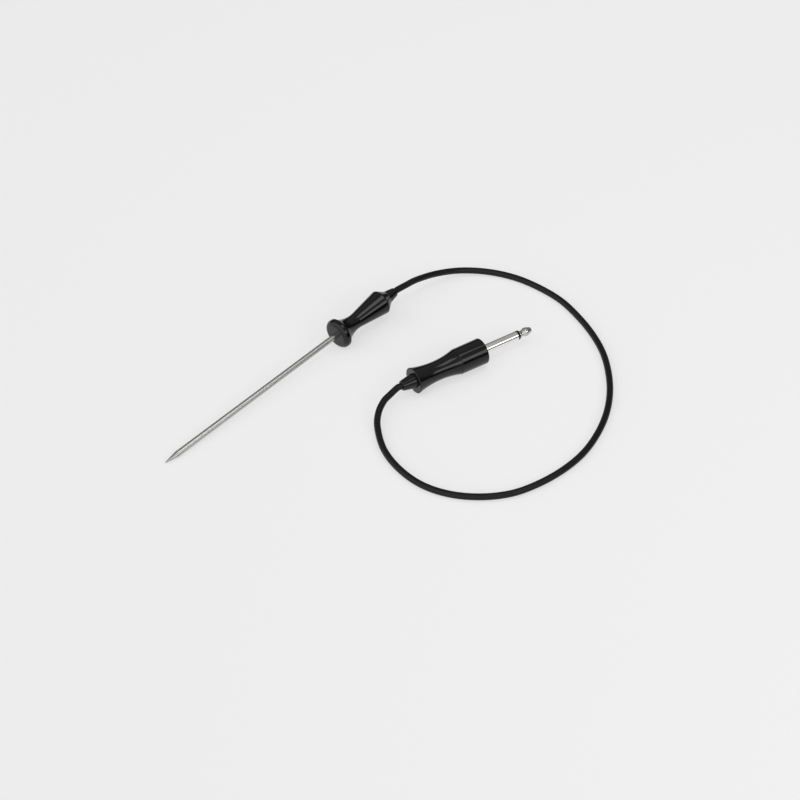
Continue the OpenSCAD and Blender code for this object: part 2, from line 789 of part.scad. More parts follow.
stem_tube();
stem_point();
tip_filler();
thermistor_bead();
thermistor_leads();
lead_crimps();
crimp_sleeves();
stem_wires();
stem_collar();
stem_seal();
grip();
grip_potting();
splice_crimps();
splice_sleeves();
grip_cores();
grip_ferrule();
grip_boot();
cord();
plug_boot();
plug_ferrule();
plug_cores();
plug_body();
jack_sleeve();
tip_insulator();
jack_tip();
rod_insulator();
rear_washer();
tip_lug();
sleeve_lug();
solder_joints();
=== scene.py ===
# %% [markdown]
# # An oven temperature probe
#
# The object has three parts that a cook would name: a pointed steel stem in a black grip,
# a thin black cord, and a metal plug in a second black grip. A packed model from CAD gives
# every piece its place and its size. Here the pieces that show are made again with finer
# curves, and each piece, hidden or not, gets its finish. The object's lengths are written
# in millimetres and turned into metres once, because Blender's unit is the metre. The
# table and the lamps round it are written in metres.

# %% Load the frame
import math
import bmesh
import bpy
from mathutils import Matrix, Vector


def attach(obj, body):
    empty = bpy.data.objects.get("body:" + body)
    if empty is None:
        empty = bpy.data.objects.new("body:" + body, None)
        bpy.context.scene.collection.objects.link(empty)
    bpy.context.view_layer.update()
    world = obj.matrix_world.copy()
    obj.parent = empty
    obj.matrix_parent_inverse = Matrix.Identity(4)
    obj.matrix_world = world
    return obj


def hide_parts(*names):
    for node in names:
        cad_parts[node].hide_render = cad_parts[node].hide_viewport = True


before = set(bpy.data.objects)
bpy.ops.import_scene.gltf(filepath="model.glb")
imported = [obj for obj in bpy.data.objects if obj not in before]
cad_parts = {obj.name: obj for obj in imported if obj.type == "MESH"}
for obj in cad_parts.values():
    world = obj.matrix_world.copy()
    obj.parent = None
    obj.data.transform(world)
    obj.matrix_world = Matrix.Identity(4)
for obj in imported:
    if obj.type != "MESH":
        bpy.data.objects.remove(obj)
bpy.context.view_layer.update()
MM = 0.001

# %% [markdown]
# ## The camera
#
# A long thin thing shows best from high up and from the side, where neither the stem nor
# the loop of cord hides the other. A long lens keeps the two grips at nearly the same
# scale. A camera could be turned by hand, but here it is put on a sphere round the spot
# that it looks at, so that azimuth, elevation and distance can each be changed alone.

# %% Place the camera
AIM = Vector((39.98, -66.16, 0)) * MM
AZIMUTH, ELEVATION, DISTANCE = math.radians(43.74), math.radians(44), 1228.65 * MM
# the sensor's width and the lens in millimetres, and what is seen in metres
SENSOR, LENS, NEAREST, FARTHEST = 36, 85, 0.05, 30

look = Vector((math.cos(ELEVATION) * math.cos(AZIMUTH),
               math.cos(ELEVATION) * math.sin(AZIMUTH), -math.sin(ELEVATION)))
camera = bpy.data.objects.new("camera", bpy.data.cameras.new("camera"))
camera.data.sensor_width, camera.data.lens = SENSOR, LENS
camera.data.clip_start, camera.data.clip_end = NEAREST, FARTHEST
camera.location = AIM - look * DISTANCE
camera.rotation_euler = look.to_track_quat("-Z", "Y").to_euler()
bpy.context.scene.collection.objects.link(camera)
bpy.context.scene.camera = camera
print("camera at", camera.location[:])

# %% [markdown]
# ## Where the two rigid halves lie
#
# The probe lies on the rim where its point starts and on its finger guard, so its axis
# rises a little towards the cord. The plug lies flat and is turned away from it. Each
# piece could be drawn where it lies, but a matrix for each axis lets every turned piece be
# drawn upright, as on a lathe, and laid down with one multiplication.

# %% Matrices of the two axes
PROBE_TILT, PROBE_X, PROBE_Z = math.radians(3.3594), 47.0283, 10.2999
PLUG_TURN, PLUG_AT = math.radians(-13.8), (52.3, -66.5, 9)

on_probe = (Matrix.Translation(Vector((PROBE_X, 0, PROBE_Z)) * MM)
            @ Matrix.Rotation(math.radians(90) - PROBE_TILT, 4, "Y"))
on_plug = (Matrix.Translation(Vector(PLUG_AT) * MM)
           @ Matrix.Rotation(PLUG_TURN, 4, "Z") @ Matrix.Rotation(math.radians(90), 4, "Y"))


def along(axis, z):
    return axis @ Vector((0, 0, z * MM))


print("the grip's face is at", along(on_probe, 0)[:], "and the plug's rim at",
      along(on_plug, 0)[:])

# %% [markdown]
# ## The cord
#
# A two-core cord with a soft round jacket, 4.4 mm thick. It leaves the grip straight, sinks
# to the table and runs round in one wide loop to the plug. A cord could be a mesh tube, but
# a curve with a round bevel is the same thing with a fraction of the data. Its line is the
# cord's middle. A point's radius multiplies the bevel depth, and Blender adds that radius
# to the curve's box, so the depth is one metre and the radius half the cord's thickness.
# Each handle is a sixth of the way between its two neighbours, which gives the even bend
# of a springy cord.

# %% The cord's route
CORD_D, CORD_LEAD = 4.4, 3
GRIP_LEN, GRIP_BOOT_LEN, PLUG_BOOT_LEN = 48.8, 8, 9.3
GRIP_JACKET_AT, PLUG_JACKET_AT = 40.8, 8
# x, y and the height of the jacket's underside above the table
CORD_LAY = [
    (114, -0.9, 11.7), (124, -2, 11.2), (142, -3.7, 6.5), (160, -10, 2),
    (173.5, -23.5, 0.4), (182, -41, 0.1), (185.5, -60, 0.1), (185.5, -79.5, 0.1),
    (181, -98.5, 0.1), (174, -117, 0.1), (164.5, -134, 0.1), (152, -149, 0.1),
    (137.5, -162, 0.1), (121, -172.5, 0.1), (103, -180, 0.1), (84, -184.5, 0.1),
    (65, -185, 0.1), (45.5, -182, 0.1), (27, -175.5, 0.1), (11.5, -164, 0.1),
    (-0.5, -148.5, 0.1), (-7, -130.5, 0.1), (-7, -111, 0.1), (-1.5, -92, 0.2),
    (9, -76, 1.2), (17.5, -68.5, 3.3), (26, -64.8, 5.1), (33, -63.9, 5.9)]

grip_boot_end = GRIP_LEN + GRIP_BOOT_LEN
route = [along(on_probe, z) for z in
         (GRIP_JACKET_AT, (GRIP_JACKET_AT + grip_boot_end) / 2, grip_boot_end,
          grip_boot_end + CORD_LEAD)]
route += [Vector((x, y, lift + CORD_D / 2)) * MM for x, y, lift in CORD_LAY]
route += [along(on_plug, z) for z in
          (-PLUG_BOOT_LEN - CORD_LEAD, -PLUG_BOOT_LEN,
           (PLUG_JACKET_AT - PLUG_BOOT_LEN) / 2, PLUG_JACKET_AT)]
print("the cord's route has", len(route), "points")


# %% The cord's curve
def smooth_curve(name, points, thickness):
    data = bpy.data.curves.new(name, "CURVE")
    data.dimensions = "3D"
    data.bevel_depth = 1
    data.bevel_resolution = 7
    data.resolution_u = 12
    data.use_fill_caps = True
    spline = data.splines.new("BEZIER")
    spline.bezier_points.add(len(points) - 1)
    ends = [2 * points[0] - points[1], *points, 2 * points[-1] - points[-2]]
    for i, knot in enumerate(spline.bezier_points):
        reach = (ends[i + 2] - ends[i]) / 6
        knot.co, knot.radius = points[i], thickness / 2
        knot.handle_left_type = knot.handle_right_type = "FREE"
        knot.handle_left, knot.handle_right = points[i] - reach, points[i] + reach
    piece = bpy.data.objects.new(name, data)
    bpy.context.scene.collection.objects.link(piece)
    return piece


cord = smooth_curve("cord_jacket", route, CORD_D * MM)

# %% [markdown]
# ## Turned and moulded pieces
#
# Every rigid piece that shows is round, so its whole shape is one profile spun about its
# axis. A profile could be a list of dozens of points, but a designer draws it as straight
# runs, a few arcs and rounded corners, and so does this pen: `line` extrudes the last
# vertex to a new place, `arc` spins it round a centre, and a corner's radius is turned
# into a vertex bevel. The pen draws r along x and the station on the axis along z. A
# bevel measures how far it cuts back along each edge, so the radius is divided by the
# tangent of half the corner's angle.

# %% The pen that draws a profile
WIDE_CORNER, WIDE_STEPS, SMALL_STEPS = 1.2, 12, 5
MOST_OF_A_LINE = 0.999


class Pen:
    def __init__(self, z, r):
        self.mesh = bmesh.new()
        self.first = self.last = self.mesh.verts.new((r, 0, z))
        self.rounded = []

    def line(self, z, r, corner=0):
        """Draws on to station z and radius r, and notes the radius of the corner there."""
        made = bmesh.ops.extrude_vert_indiv(self.mesh, verts=[self.last])["verts"][0]
        made.co = (r, 0, z)
        self.last = made
        if corner:
            self.rounded.append((made, corner))

    def arc(self, z, r, degrees, steps):
        """Goes round the point at station z and radius r; a plus turns from +r to -z."""
        made = bmesh.ops.spin(self.mesh, geom=[self.last], cent=(r, 0, z), axis=(0, 1, 0),
                              angle=math.radians(degrees), steps=steps)
        self.last = next(v for v in made["geom_last"] if isinstance(v, bmesh.types.BMVert))

    def close(self):
        self.mesh.edges.new((self.last, self.first))
        for vert, radius in self.rounded:
            one, two = (edge.other_vert(vert).co - vert.co for edge in vert.link_edges)
            cut = min(radius / math.tan(one.angle(two) / 2),
                      MOST_OF_A_LINE * one.length, MOST_OF_A_LINE * two.length)
            steps = WIDE_STEPS if radius > WIDE_CORNER else SMALL_STEPS
            bmesh.ops.bevel(self.mesh, geom=[vert], offset=cut, offset_type="OFFSET",
                            segments=steps, profile=0.5, affect="VERTICES", material=-1)
        return self.mesh


print("a pen draws with", [name for name in vars(Pen) if not name.startswith("_")])

# %% [markdown]
# The spin makes the mesh, and the axis matrix lays it down. `use_merge` closes the last
# step on the first. Spinning can turn the faces inwards, so the normals are worked out
# again once the doubles are gone. Edges sharper than 35 degrees stay crisp, and the
# Weighted Normal modifier keeps the flat faces flat beside their rounded edges.

# %% Spin a profile into a piece
SPIN_STEPS, WELD = 144, 0.0005
SHARP = math.radians(35)


def finish_mesh(mesh, name, axis):
    bmesh.ops.transform(mesh, matrix=axis @ Matrix.Scale(MM, 4), verts=mesh.verts)
    bmesh.ops.recalc_face_normals(mesh, faces=mesh.faces)
    for face in mesh.faces:
        face.smooth = True
    for edge in mesh.edges:
        edge.smooth = edge.calc_face_angle(0) < SHARP
    data = bpy.data.meshes.new(name)
    mesh.to_mesh(data)
    mesh.free()
    piece = bpy.data.objects.new(name, data)
    bpy.context.scene.collection.objects.link(piece)
    weighted = piece.modifiers.new("even_normals", "WEIGHTED_NORMAL")
    weighted.keep_sharp = True
    return piece


def turn(pen, name, axis):
    mesh = pen.close()
    bmesh.ops.spin(mesh, geom=mesh.verts[:] + mesh.edges[:], cent=(0, 0, 0),
                   axis=(0, 0, 1), angle=math.radians(360), steps=SPIN_STEPS,
                   use_merge=True)
    bmesh.ops.remove_doubles(mesh, verts=mesh.verts, dist=WELD)
    piece = finish_mesh(mesh, name, axis)
    print(name, "has", len(piece.data.polygons), "faces")
    return piece


print("a full turn takes", SPIN_STEPS, "steps")

# %% [markdown]
# ## The stem
#
# A thin-walled stainless tube with a solid point welded into its end. The seam is ground
# away and the whole stem polished, so only a faint ring is left where the point starts.
# A cylinder and a cone would do for the outside, but the tube is open inside, as the wires
# run through it, so both pieces are spun with their real walls.

# %% The tube and its point
STEM_R, STEM_WALL, STEM_LEN, STEM_TAIL = 2, 0.4, 151.2, 19
POINT_LEN, POINT_R, SPIGOT_LEN = 9.5, 0.3, 3
POINT_FLARE, TUBE_EDGE, POINT_EDGE = 1.15, 0.04, 0.1
FIT_GAP = 0.05
point_base = POINT_LEN - STEM_LEN
bore_r = STEM_R - STEM_WALL

pen = Pen(point_base, bore_r)
pen.line(point_base, STEM_R, TUBE_EDGE)
pen.line(STEM_TAIL, STEM_R, TUBE_EDGE)
pen.line(STEM_TAIL, bore_r)
stem_tube = turn(pen, "polished_tube", on_probe)

pen = Pen(-STEM_LEN, 0)
pen.line(-STEM_LEN, POINT_R * POINT_FLARE, POINT_R)
pen.line(point_base, STEM_R, POINT_EDGE)
pen.line(point_base, bore_r - FIT_GAP)
pen.line(point_base + SPIGOT_LEN, bore_r - FIT_GAP, POINT_EDGE)
pen.line(point_base + SPIGOT_LEN, 0)
stem_point = turn(pen, "ground_point", on_probe)

# %% [markdown]
# ## The grip
#
# One glossy black moulding: a finger guard with a full round front edge, a waist for
# finger and thumb, a cone that swells to the shoulder and a short taper down to the strain
# relief. The hollow of the waist is a true arc, so it is drawn with the pen's `arc`: its
# angle follows from the two sizes that a designer would give, the waist's place and its
# thickness. The cone is the line from the shoulder that just touches the same arc.

# %% Where the grip's arc starts and ends
GUARD_R, GUARD_T, GUARD_FRONT_EDGE, GUARD_EDGE = 10.5, 5.2, 3.2, 1
WAIST_R, WAIST_AT = 5.3, 18
SHOULDER_R, SHOULDER_AT, SHOULDER_EDGE = 8.7, 43, 1.4
TAIL_R, TAIL_EDGE = 4.95, 0.2
GRIP_ARC_STEPS = 48


def waist_arc(dz, dr):
    """The radius and angle of an arc that leaves the waist flat and rises dr over dz."""
    radius = (dz * dz + dr * dr) / (2 * dr)
    return radius, math.degrees(math.asin(dz / radius))


neck_r = GUARD_R - GUARD_EDGE
arc_r, arc_angle = waist_arc(WAIST_AT - GUARD_T, neck_r - WAIST_R)
arc_centre_r = WAIST_R + arc_r
to_shoulder = Vector((SHOULDER_R - arc_centre_r, SHOULDER_AT - WAIST_AT))
touch_angle = math.degrees(math.atan2(to_shoulder.y, -to_shoulder.x)
                           - math.acos(arc_r / to_shoulder.length))
print("the waist's arc has a radius of", round(arc_r, 2), "mm")

# %% The grip's profile
FRONT_WALL, COLLAR_R, REAR_BORE_AT, REAR_BORE_R = 5, 3.2, 24, 4.2
SEAL_AT, SEAL_D = 1.6, 1.6
LIP_T, LIP_H = 1.5, 0.8

pen = Pen(0, STEM_R + FIT_GAP)
pen.line(0, GUARD_R, GUARD_FRONT_EDGE)
pen.line(GUARD_T, GUARD_R, GUARD_EDGE)
pen.line(GUARD_T, neck_r)
pen.arc(WAIST_AT, arc_centre_r, arc_angle + touch_angle, GRIP_ARC_STEPS)
pen.line(SHOULDER_AT, SHOULDER_R, SHOULDER_EDGE)
pen.line(GRIP_LEN, TAIL_R, TAIL_EDGE)
pen.line(GRIP_LEN, REAR_BORE_R - LIP_H)
pen.line(GRIP_LEN - LIP_T, REAR_BORE_R - LIP_H)
pen.line(GRIP_LEN - LIP_T, REAR_BORE_R)
pen.line(REAR_BORE_AT, REAR_BORE_R)
pen.line(REAR_BORE_AT, COLLAR_R + FIT_GAP)
pen.line(FRONT_WALL, COLLAR_R + FIT_GAP)
pen.line(FRONT_WALL, STEM_R + FIT_GAP)
pen.line(SEAL_AT + SEAL_D, STEM_R + FIT_GAP)
pen.line(SEAL_AT + SEAL_D, STEM_R + SEAL_D + FIT_GAP)
pen.line(SEAL_AT, STEM_R + SEAL_D + FIT_GAP)
pen.line(SEAL_AT, STEM_R + FIT_GAP)
grip = turn(pen, "moulded_grip", on_probe)

# %% [markdown]
# ## The strain reliefs
#
# A short sleeve at each end of the cord. Its root sits behind a lip in the housing, so it
# can't be pulled out, and its taper spreads the bend. The two could be drawn one by one,
# but they differ only in their sizes, so one function draws both.

# %% Both boots
BOOT_ROOT, BOOT_BASE_EDGE, BOOT_EDGE = 4, 0.15, 0.7


def boot(name, axis, base_r, end_r, length, bore):
    inner = CORD_D / 2 + FIT_GAP
    pen = Pen(-BOOT_ROOT, inner)
    pen.line(-BOOT_ROOT, bore - FIT_GAP)
    pen.line(-LIP_T - FIT_GAP, bore - FIT_GAP)
    pen.line(-LIP_T - FIT_GAP, bore - LIP_H - FIT_GAP)
    pen.line(0, bore - LIP_H - FIT_GAP)
    pen.line(0, base_r, BOOT_BASE_EDGE)
    pen.line(length, end_r, BOOT_EDGE)
    pen.line(length, inner)
    return turn(pen, name, axis)


GRIP_BOOT_R, GRIP_BOOT_END_R = 4.7, 3.1
PLUG_BOOT_R, PLUG_BOOT_END_R = 5.2, 3.35
CHAMBER_R = 4.7
grip_boot = boot("boot_of_grip", on_probe @ Matrix.Translation((0, 0, GRIP_LEN * MM)),
                 GRIP_BOOT_R, GRIP_BOOT_END_R, GRIP_BOOT_LEN, REAR_BORE_R)
plug_boot = boot("boot_of_plug", on_plug @ Matrix.Rotation(math.radians(180), 4, "X"),
                 PLUG_BOOT_R, PLUG_BOOT_END_R, PLUG_BOOT_LEN, CHAMBER_R)

# %% [markdown]
# ## The plug body
#
# The same black moulding as the grip. A trumpet opens to the rim at the cord's end, a
# second one swells to the barrel, and the barrel runs straight to the jack. A freehand
# curve would do too, but two arcs that are both tangent at the waist pass from one to the
# other without a ridge, and each follows from two sizes.

# %% The plug body's profile
BODY_R, BODY_LEN, BODY_EDGE = 9, 54, 0.4
BODY_WAIST_R, BODY_WAIST_AT = 6.65, 18
BARREL_R, BARREL_AT, BARREL_EDGE = 8.85, 34, 0.8
BODY_ARC_STEPS = 40
JACK_R, JACK_LEN = 3.175, 27.6
COLLAR_PROUD, JACK_COLLAR_R, JACK_COLLAR_T = 0.6, 5, 2.2
ROOT_R, ROOT_LEN = 4.5, 12
collar_seat = BODY_LEN + COLLAR_PROUD - JACK_COLLAR_T
root_at = collar_seat - ROOT_LEN

cord_arc_r, cord_arc = waist_arc(BODY_WAIST_AT - BODY_EDGE, BODY_R - BODY_WAIST_R)
jack_arc_r, jack_arc = waist_arc(BARREL_AT - BODY_WAIST_AT, BARREL_R - BODY_WAIST_R)

pen = Pen(0, CHAMBER_R - LIP_H)
pen.line(0, BODY_R, BODY_EDGE)
pen.line(BODY_EDGE, BODY_R)
pen.arc(BODY_WAIST_AT, BODY_WAIST_R + cord_arc_r, cord_arc, BODY_ARC_STEPS)
pen.arc(BODY_WAIST_AT, BODY_WAIST_R + jack_arc_r, jack_arc, BODY_ARC_STEPS)
pen.line(BODY_LEN, BODY_R, BARREL_EDGE)
pen.line(BODY_LEN, JACK_COLLAR_R + FIT_GAP)
pen.line(collar_seat, JACK_COLLAR_R + FIT_GAP)
pen.line(collar_seat, ROOT_R + FIT_GAP)
pen.line(root_at, ROOT_R + FIT_GAP)
pen.line(root_at, CHAMBER_R)
pen.line(LIP_T, CHAMBER_R)
pen.line(LIP_T, CHAMBER_R - LIP_H)
plug_body = turn(pen, "moulded_plug_body", on_plug)

# %% [markdown]
# ## The sleeve of the jack
#
# The sleeve contact is turned from brass and plated. Its collar seats in the body, and the
# ribs on its root hold it in the moulding. The ribs could be a second piece joined on, but
# they are part of the same turning, so a short loop adds them to the profile.

# %% The sleeve contact
JACK_BORE_R, COLLAR_EDGE, SLEEVE_EDGE = 2.1, 0.3, 0.08
RIB_H, RIB_GROOVES = 0.5, 5
ring_at = BODY_LEN + JACK_LEN
rib = ROOT_LEN / (2 * RIB_GROOVES + 1)

pen = Pen(root_at, JACK_BORE_R)
for i in range(RIB_GROOVES + 1):
    pen.line(root_at + 2 * i * rib, ROOT_R)
    pen.line(root_at + (2 * i + 1) * rib, ROOT_R)
    if i < RIB_GROOVES:
        pen.line(root_at + (2 * i + 1) * rib, ROOT_R - RIB_H)
        pen.line(root_at + (2 * i + 2) * rib, ROOT_R - RIB_H)
pen.line(collar_seat, JACK_COLLAR_R)
pen.line(collar_seat + JACK_COLLAR_T, JACK_COLLAR_R, COLLAR_EDGE)
pen.line(collar_seat + JACK_COLLAR_T, JACK_R)
pen.line(ring_at, JACK_R, SLEEVE_EDGE)
pen.line(ring_at, JACK_BORE_R)
jack_sleeve = turn(pen, "plated_sleeve", on_plug)

# %% [markdown]
# ## The ring and the tip
#
# A black ring parts the sleeve from the tip. The tip is turned in one piece with the rod
# that runs back through the sleeve: a collar, a neck that the socket's spring snaps into,
# a ball with a short straight belt, and a blunt nose. A sphere and a cone pushed into each
# other would look alike from afar but leave a seam inside, so this is one profile too.

# %% The ring and the tip contact
RING_T, RING_EDGE, ROD_R = 1.6, 0.12, 1.2
RIVET_R, RIVET_T, RIVET_BACK = 2, 0.8, 2.5
TIP_LEN, TIP_COLLAR_R, TIP_COLLAR_T, TIP_COLLAR_EDGE = 10.2, 2.8, 0.8, 0.3
NECK_R, NECK_AT, NECK_LEN, NECK_BACK_EDGE, NECK_FRONT_EDGE = 2.15, 1.9, 0.9, 0.4, 0.6
BALL_R, BALL_AT, BELT, BELT_EDGE = 3, 5.6, 1.4, 1.5
NOSE_R, NOSE_EDGE = 1.7, 1.4
tip_at = ring_at + RING_T
rivet_at = root_at - RIVET_BACK - RIVET_T

pen = Pen(ring_at, ROD_R + FIT_GAP)
pen.line(ring_at, JACK_R - FIT_GAP / 2)
pen.line(tip_at, JACK_R - FIT_GAP / 2, RING_EDGE)
pen.line(tip_at, ROD_R + FIT_GAP)
tip_ring = turn(pen, "insulating_ring", on_plug)

pen = Pen(rivet_at, 0)
pen.line(rivet_at, RIVET_R, RIVET_T / 2)
pen.line(rivet_at + RIVET_T, RIVET_R)
pen.line(rivet_at + RIVET_T, ROD_R)
pen.line(tip_at, ROD_R)
pen.line(tip_at, TIP_COLLAR_R)
pen.line(tip_at + TIP_COLLAR_T, TIP_COLLAR_R, TIP_COLLAR_EDGE)
pen.line(tip_at + NECK_AT, NECK_R, NECK_BACK_EDGE)
pen.line(tip_at + NECK_AT + NECK_LEN, NECK_R, NECK_FRONT_EDGE)
pen.line(tip_at + BALL_AT - BELT / 2, BALL_R, BELT_EDGE)
pen.line(tip_at + BALL_AT + BELT / 2, BALL_R, BELT_EDGE)
pen.line(tip_at + TIP_LEN, NOSE_R, NOSE_EDGE)
pen.line(tip_at + TIP_LEN, 0)
jack_tip = turn(pen, "plated_tip", on_plug)

# %% [markdown]
# ## What each piece stands for
#
# Every piece rides on a body of the model, and this one has no joints, so all ride on the
# root. Each piece that was made again is hung on the root, and the CAD node that it
# replaces is hidden. The cord is the only piece that can move: the plug lies wherever the
# cord lets it.

# %% Ride and replace
MADE = {"stem_tube": (stem_tube, "stem_steel"), "stem_point": (stem_point, "stem_steel"),
        "grip": (grip, "black_plastic"), "plug_body": (plug_body, "black_plastic"),
        "grip_boot": (grip_boot, "boot_rubber"), "plug_boot": (plug_boot, "boot_rubber"),
        "cord": (cord, "cord_jacket"), "jack_sleeve": (jack_sleeve, "nickel"),
        "jack_tip": (jack_tip, "nickel"), "tip_insulator": (tip_ring, "ring_black")}
for node, (piece, finish) in MADE.items():
    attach(piece, "root")
    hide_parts(node)

print(len(MADE), "pieces replace CAD nodes")

# %% [markdown]
# ## Finishes
#
# A plain colour looks like paint on everything. What tells plastic from rubber and steel is
# how the gloss breaks up: the skin of a moulding, the drag marks of a polishing belt, the
# rings left by a lathe tool. Each of these is a node group, built once, that gives a
# roughness or a height which changes over the surface. Each finish then sets its own scale
# and strength. All of them read the object's own coordinates, in metres. An image texture
# could do the same at one distance, but a formula stays sharp at every distance.

# %% Small helpers for shader nodes
FLOAT, VECTOR = "NodeSocketFloat", "NodeSocketVector"


def add_node(tree, kind, **settings):
    node = tree.nodes.new(kind)
    for name, value in settings.items():
        setattr(node, name, value)
    return node


def feed(tree, socket, value):
    """Links value to the socket where it is another node's, and otherwise sets it."""
    if isinstance(value, bpy.types.NodeSocket):
        tree.links.new(value, socket)
    else:
        socket.default_value = value


def noise(tree, vector, scale, detail, roughness=0.5):
    node = add_node(tree, "ShaderNodeTexNoise")
    for label, value in (("Vector", vector), ("Scale", scale), ("Detail", detail),
                         ("Roughness", roughness)):
        feed(tree, node.inputs[label], value)
    return node.outputs["Fac"]


def remap(tree, value, low, high, to_low, to_high):
    """Stretches a range of value to another range, with soft ends."""
    node = add_node(tree, "ShaderNodeMapRange", interpolation_type="SMOOTHSTEP")
    for label, number in (("Value", value), ("From Min", low), ("From Max", high),
                          ("To Min", to_low), ("To Max", to_high)):
        feed(tree, node.inputs[label], number)
    return node.outputs["Result"]


def new_group(name, inputs, outputs):
    """A shader node group, and its two end nodes; inputs is {name: (kind, value)}."""
    tree = bpy.data.node_groups.new(name, "ShaderNodeTree")
    for label, (kind, value) in inputs.items():
        socket = tree.interface.new_socket(label, in_out="INPUT", socket_type=kind)
        if value is not None:
            socket.default_value = value
    for label in outputs:
        tree.interface.new_socket(label, in_out="OUTPUT", socket_type=FLOAT)
    return tree, add_node(tree, "NodeGroupInput"), add_node(tree, "NodeGroupOutput")


print("helpers ready for", FLOAT, "and", VECTOR)

# %% [markdown]
# ### Three surface effects
#
# `moulded_skin` is the very shallow orange peel of a glossy moulding, or the finer bloom of
# rubber: a fine noise for the height, and slow patches where hands have dulled or polished
# the gloss. `worked_lines` stretches a noise into lines round the piece, as a lathe or a
# belt leaves them. `grime` is a mask for the faint film that gathers in patches.

# %% Node group: moulded skin
skin, skin_in, skin_out = new_group(
    "moulded_skin",
    {"Vector": (VECTOR, None), "Grain": (FLOAT, 900), "Low": (FLOAT, 0.1),
     "High": (FLOAT, 0.2)}, ("Roughness", "Height"))
fine = noise(skin, skin_in.outputs["Vector"], scale=skin_in.outputs["Grain"], detail=3)
patches = noise(skin, skin_in.outputs["Vector"], scale=60, detail=4, roughness=0.6)
dulled = remap(skin, patches, low=0.3, high=0.7, to_low=skin_in.outputs["Low"],
               to_high=skin_in.outputs["High"])
skin.links.new(dulled, skin_out.inputs["Roughness"])
skin.links.new(fine, skin_out.inputs["Height"])
print(skin.name, "ready")

# %% Node group: worked lines
lines, lines_in, lines_out = new_group(
    "worked_lines",
    {"Vector": (VECTOR, None), "Stretch": (VECTOR, (40, 40, 1200)),
     "Low": (FLOAT, 0.15), "High": (FLOAT, 0.3)}, ("Roughness", "Height"))
stretched = add_node(lines, "ShaderNodeVectorMath", operation="MULTIPLY")
lines.links.new(lines_in.outputs["Vector"], stretched.inputs[0])
lines.links.new(lines_in.outputs["Stretch"], stretched.inputs[1])
marks = noise(lines, stretched.outputs["Vector"], scale=1, detail=3, roughness=0.6)
scored = remap(lines, marks, low=0.3, high=0.75, to_low=lines_in.outputs["Low"],
               to_high=lines_in.outputs["High"])
lines.links.new(scored, lines_out.inputs["Roughness"])
lines.links.new(marks, lines_out.inputs["Height"])
print(lines.name, "ready")

# %% Node group: grime
film, film_in, film_out = new_group(
    "grime", {"Vector": (VECTOR, None), "Size": (FLOAT, 150), "Amount": (FLOAT, 0.5)},
    ("Mask",))
clouds = noise(film, film_in.outputs["Vector"], scale=film_in.outputs["Size"], detail=5,
               roughness=0.65)
covered = remap(film, clouds, low=0.45, high=0.8, to_low=0,
                to_high=film_in.outputs["Amount"])
film.links.new(covered, film_out.inputs["Mask"])
print(film.name, "ready")

# %% [markdown]
# ### How a finish is built
#
# A finish starts from the Principled shader. Numbers that are the same all over are set on
# its own sockets, and only what changes over the surface is linked. The Mapping node, set
# to Texture, undoes a piece's placing, so its z runs along the axis of the grip or the
# plug and the worked lines stand square to it.

# %% Build a finish
MICRON = 0.000001


def new_finish(name, colour, roughness, **sockets):
    material = bpy.data.materials.new(name)
    material.use_nodes = True
    tree = material.node_tree
    tree.nodes.clear()
    out = add_node(tree, "ShaderNodeOutputMaterial")
    shader = add_node(tree, "ShaderNodeBsdfPrincipled")
    shader.inputs["Base Color"].default_value = (*colour, 1)
    shader.inputs["Roughness"].default_value = roughness
    for label, value in sockets.items():
        shader.inputs[label.replace("_", " ")].default_value = value
    tree.links.new(shader.outputs["BSDF"], out.inputs["Surface"])
    return material, tree, shader


def own_coordinates(tree, axis=None):
    coordinates = add_node(tree, "ShaderNodeTexCoord").outputs["Object"]
    if axis is None:
        return coordinates
    mapping = add_node(tree, "ShaderNodeMapping", vector_type="TEXTURE")
    mapping.inputs["Location"].default_value = axis.to_translation()
    mapping.inputs["Rotation"].default_value = axis.to_euler()
    tree.links.new(coordinates, mapping.inputs["Vector"])
    return mapping.outputs["Vector"]


def use_group(tree, group, vector, **values):
    node = add_node(tree, "ShaderNodeGroup", node_tree=group)
    tree.links.new(vector, node.inputs["Vector"])
    for label, value in values.items():
        node.inputs[label].default_value = value
    return node.outputs


def bump(tree, shader, height, microns):
    node = add_node(tree, "ShaderNodeBump")
    node.inputs["Distance"].default_value = microns * MICRON
    tree.links.new(height, node.inputs["Height"])
    tree.links.new(node.outputs["Normal"], shader.inputs["Normal"])


def tint(tree, shader, mask, clean, covered):
    node = add_node(tree, "ShaderNodeMix", data_type="RGBA")
    node.inputs["A"].default_value = (*clean, 1)
    node.inputs["B"].default_value = (*covered, 1)
    tree.links.new(mask, node.inputs["Factor"])
    tree.links.new(node.outputs["Result"], shader.inputs["Base Color"])


print("finishes start from a Principled shader")

# %% [markdown]
# ### Mouldings and rubber
#
# The grip and the plug body are glossy black plastic, nearly free of colour, so almost all
# that the eye sees is what they mirror. A lower specular level keeps the mirrored table
# dark. The boots are a little duller, and the cord's jacket is satin: the same group with
# a finer grain and a higher roughness.

# %% Gloss plastic, boots and cord jacket
def moulding(name, colour, dusty, low, high, grain, depth, **sockets):
    """Roughness runs from low to high; grain is per metre and depth in microns."""
    material, tree, shader = new_finish(name, colour, low, **sockets)
    vector = own_coordinates(tree)
    surface = use_group(tree, skin, vector, Grain=grain, Low=low, High=high)
    tree.links.new(surface["Roughness"], shader.inputs["Roughness"])
    bump(tree, shader, surface["Height"], depth)
    dirt = use_group(tree, film, vector, Size=180, Amount=0.5)
    tint(tree, shader, dirt["Mask"], colour, dusty)
    return material


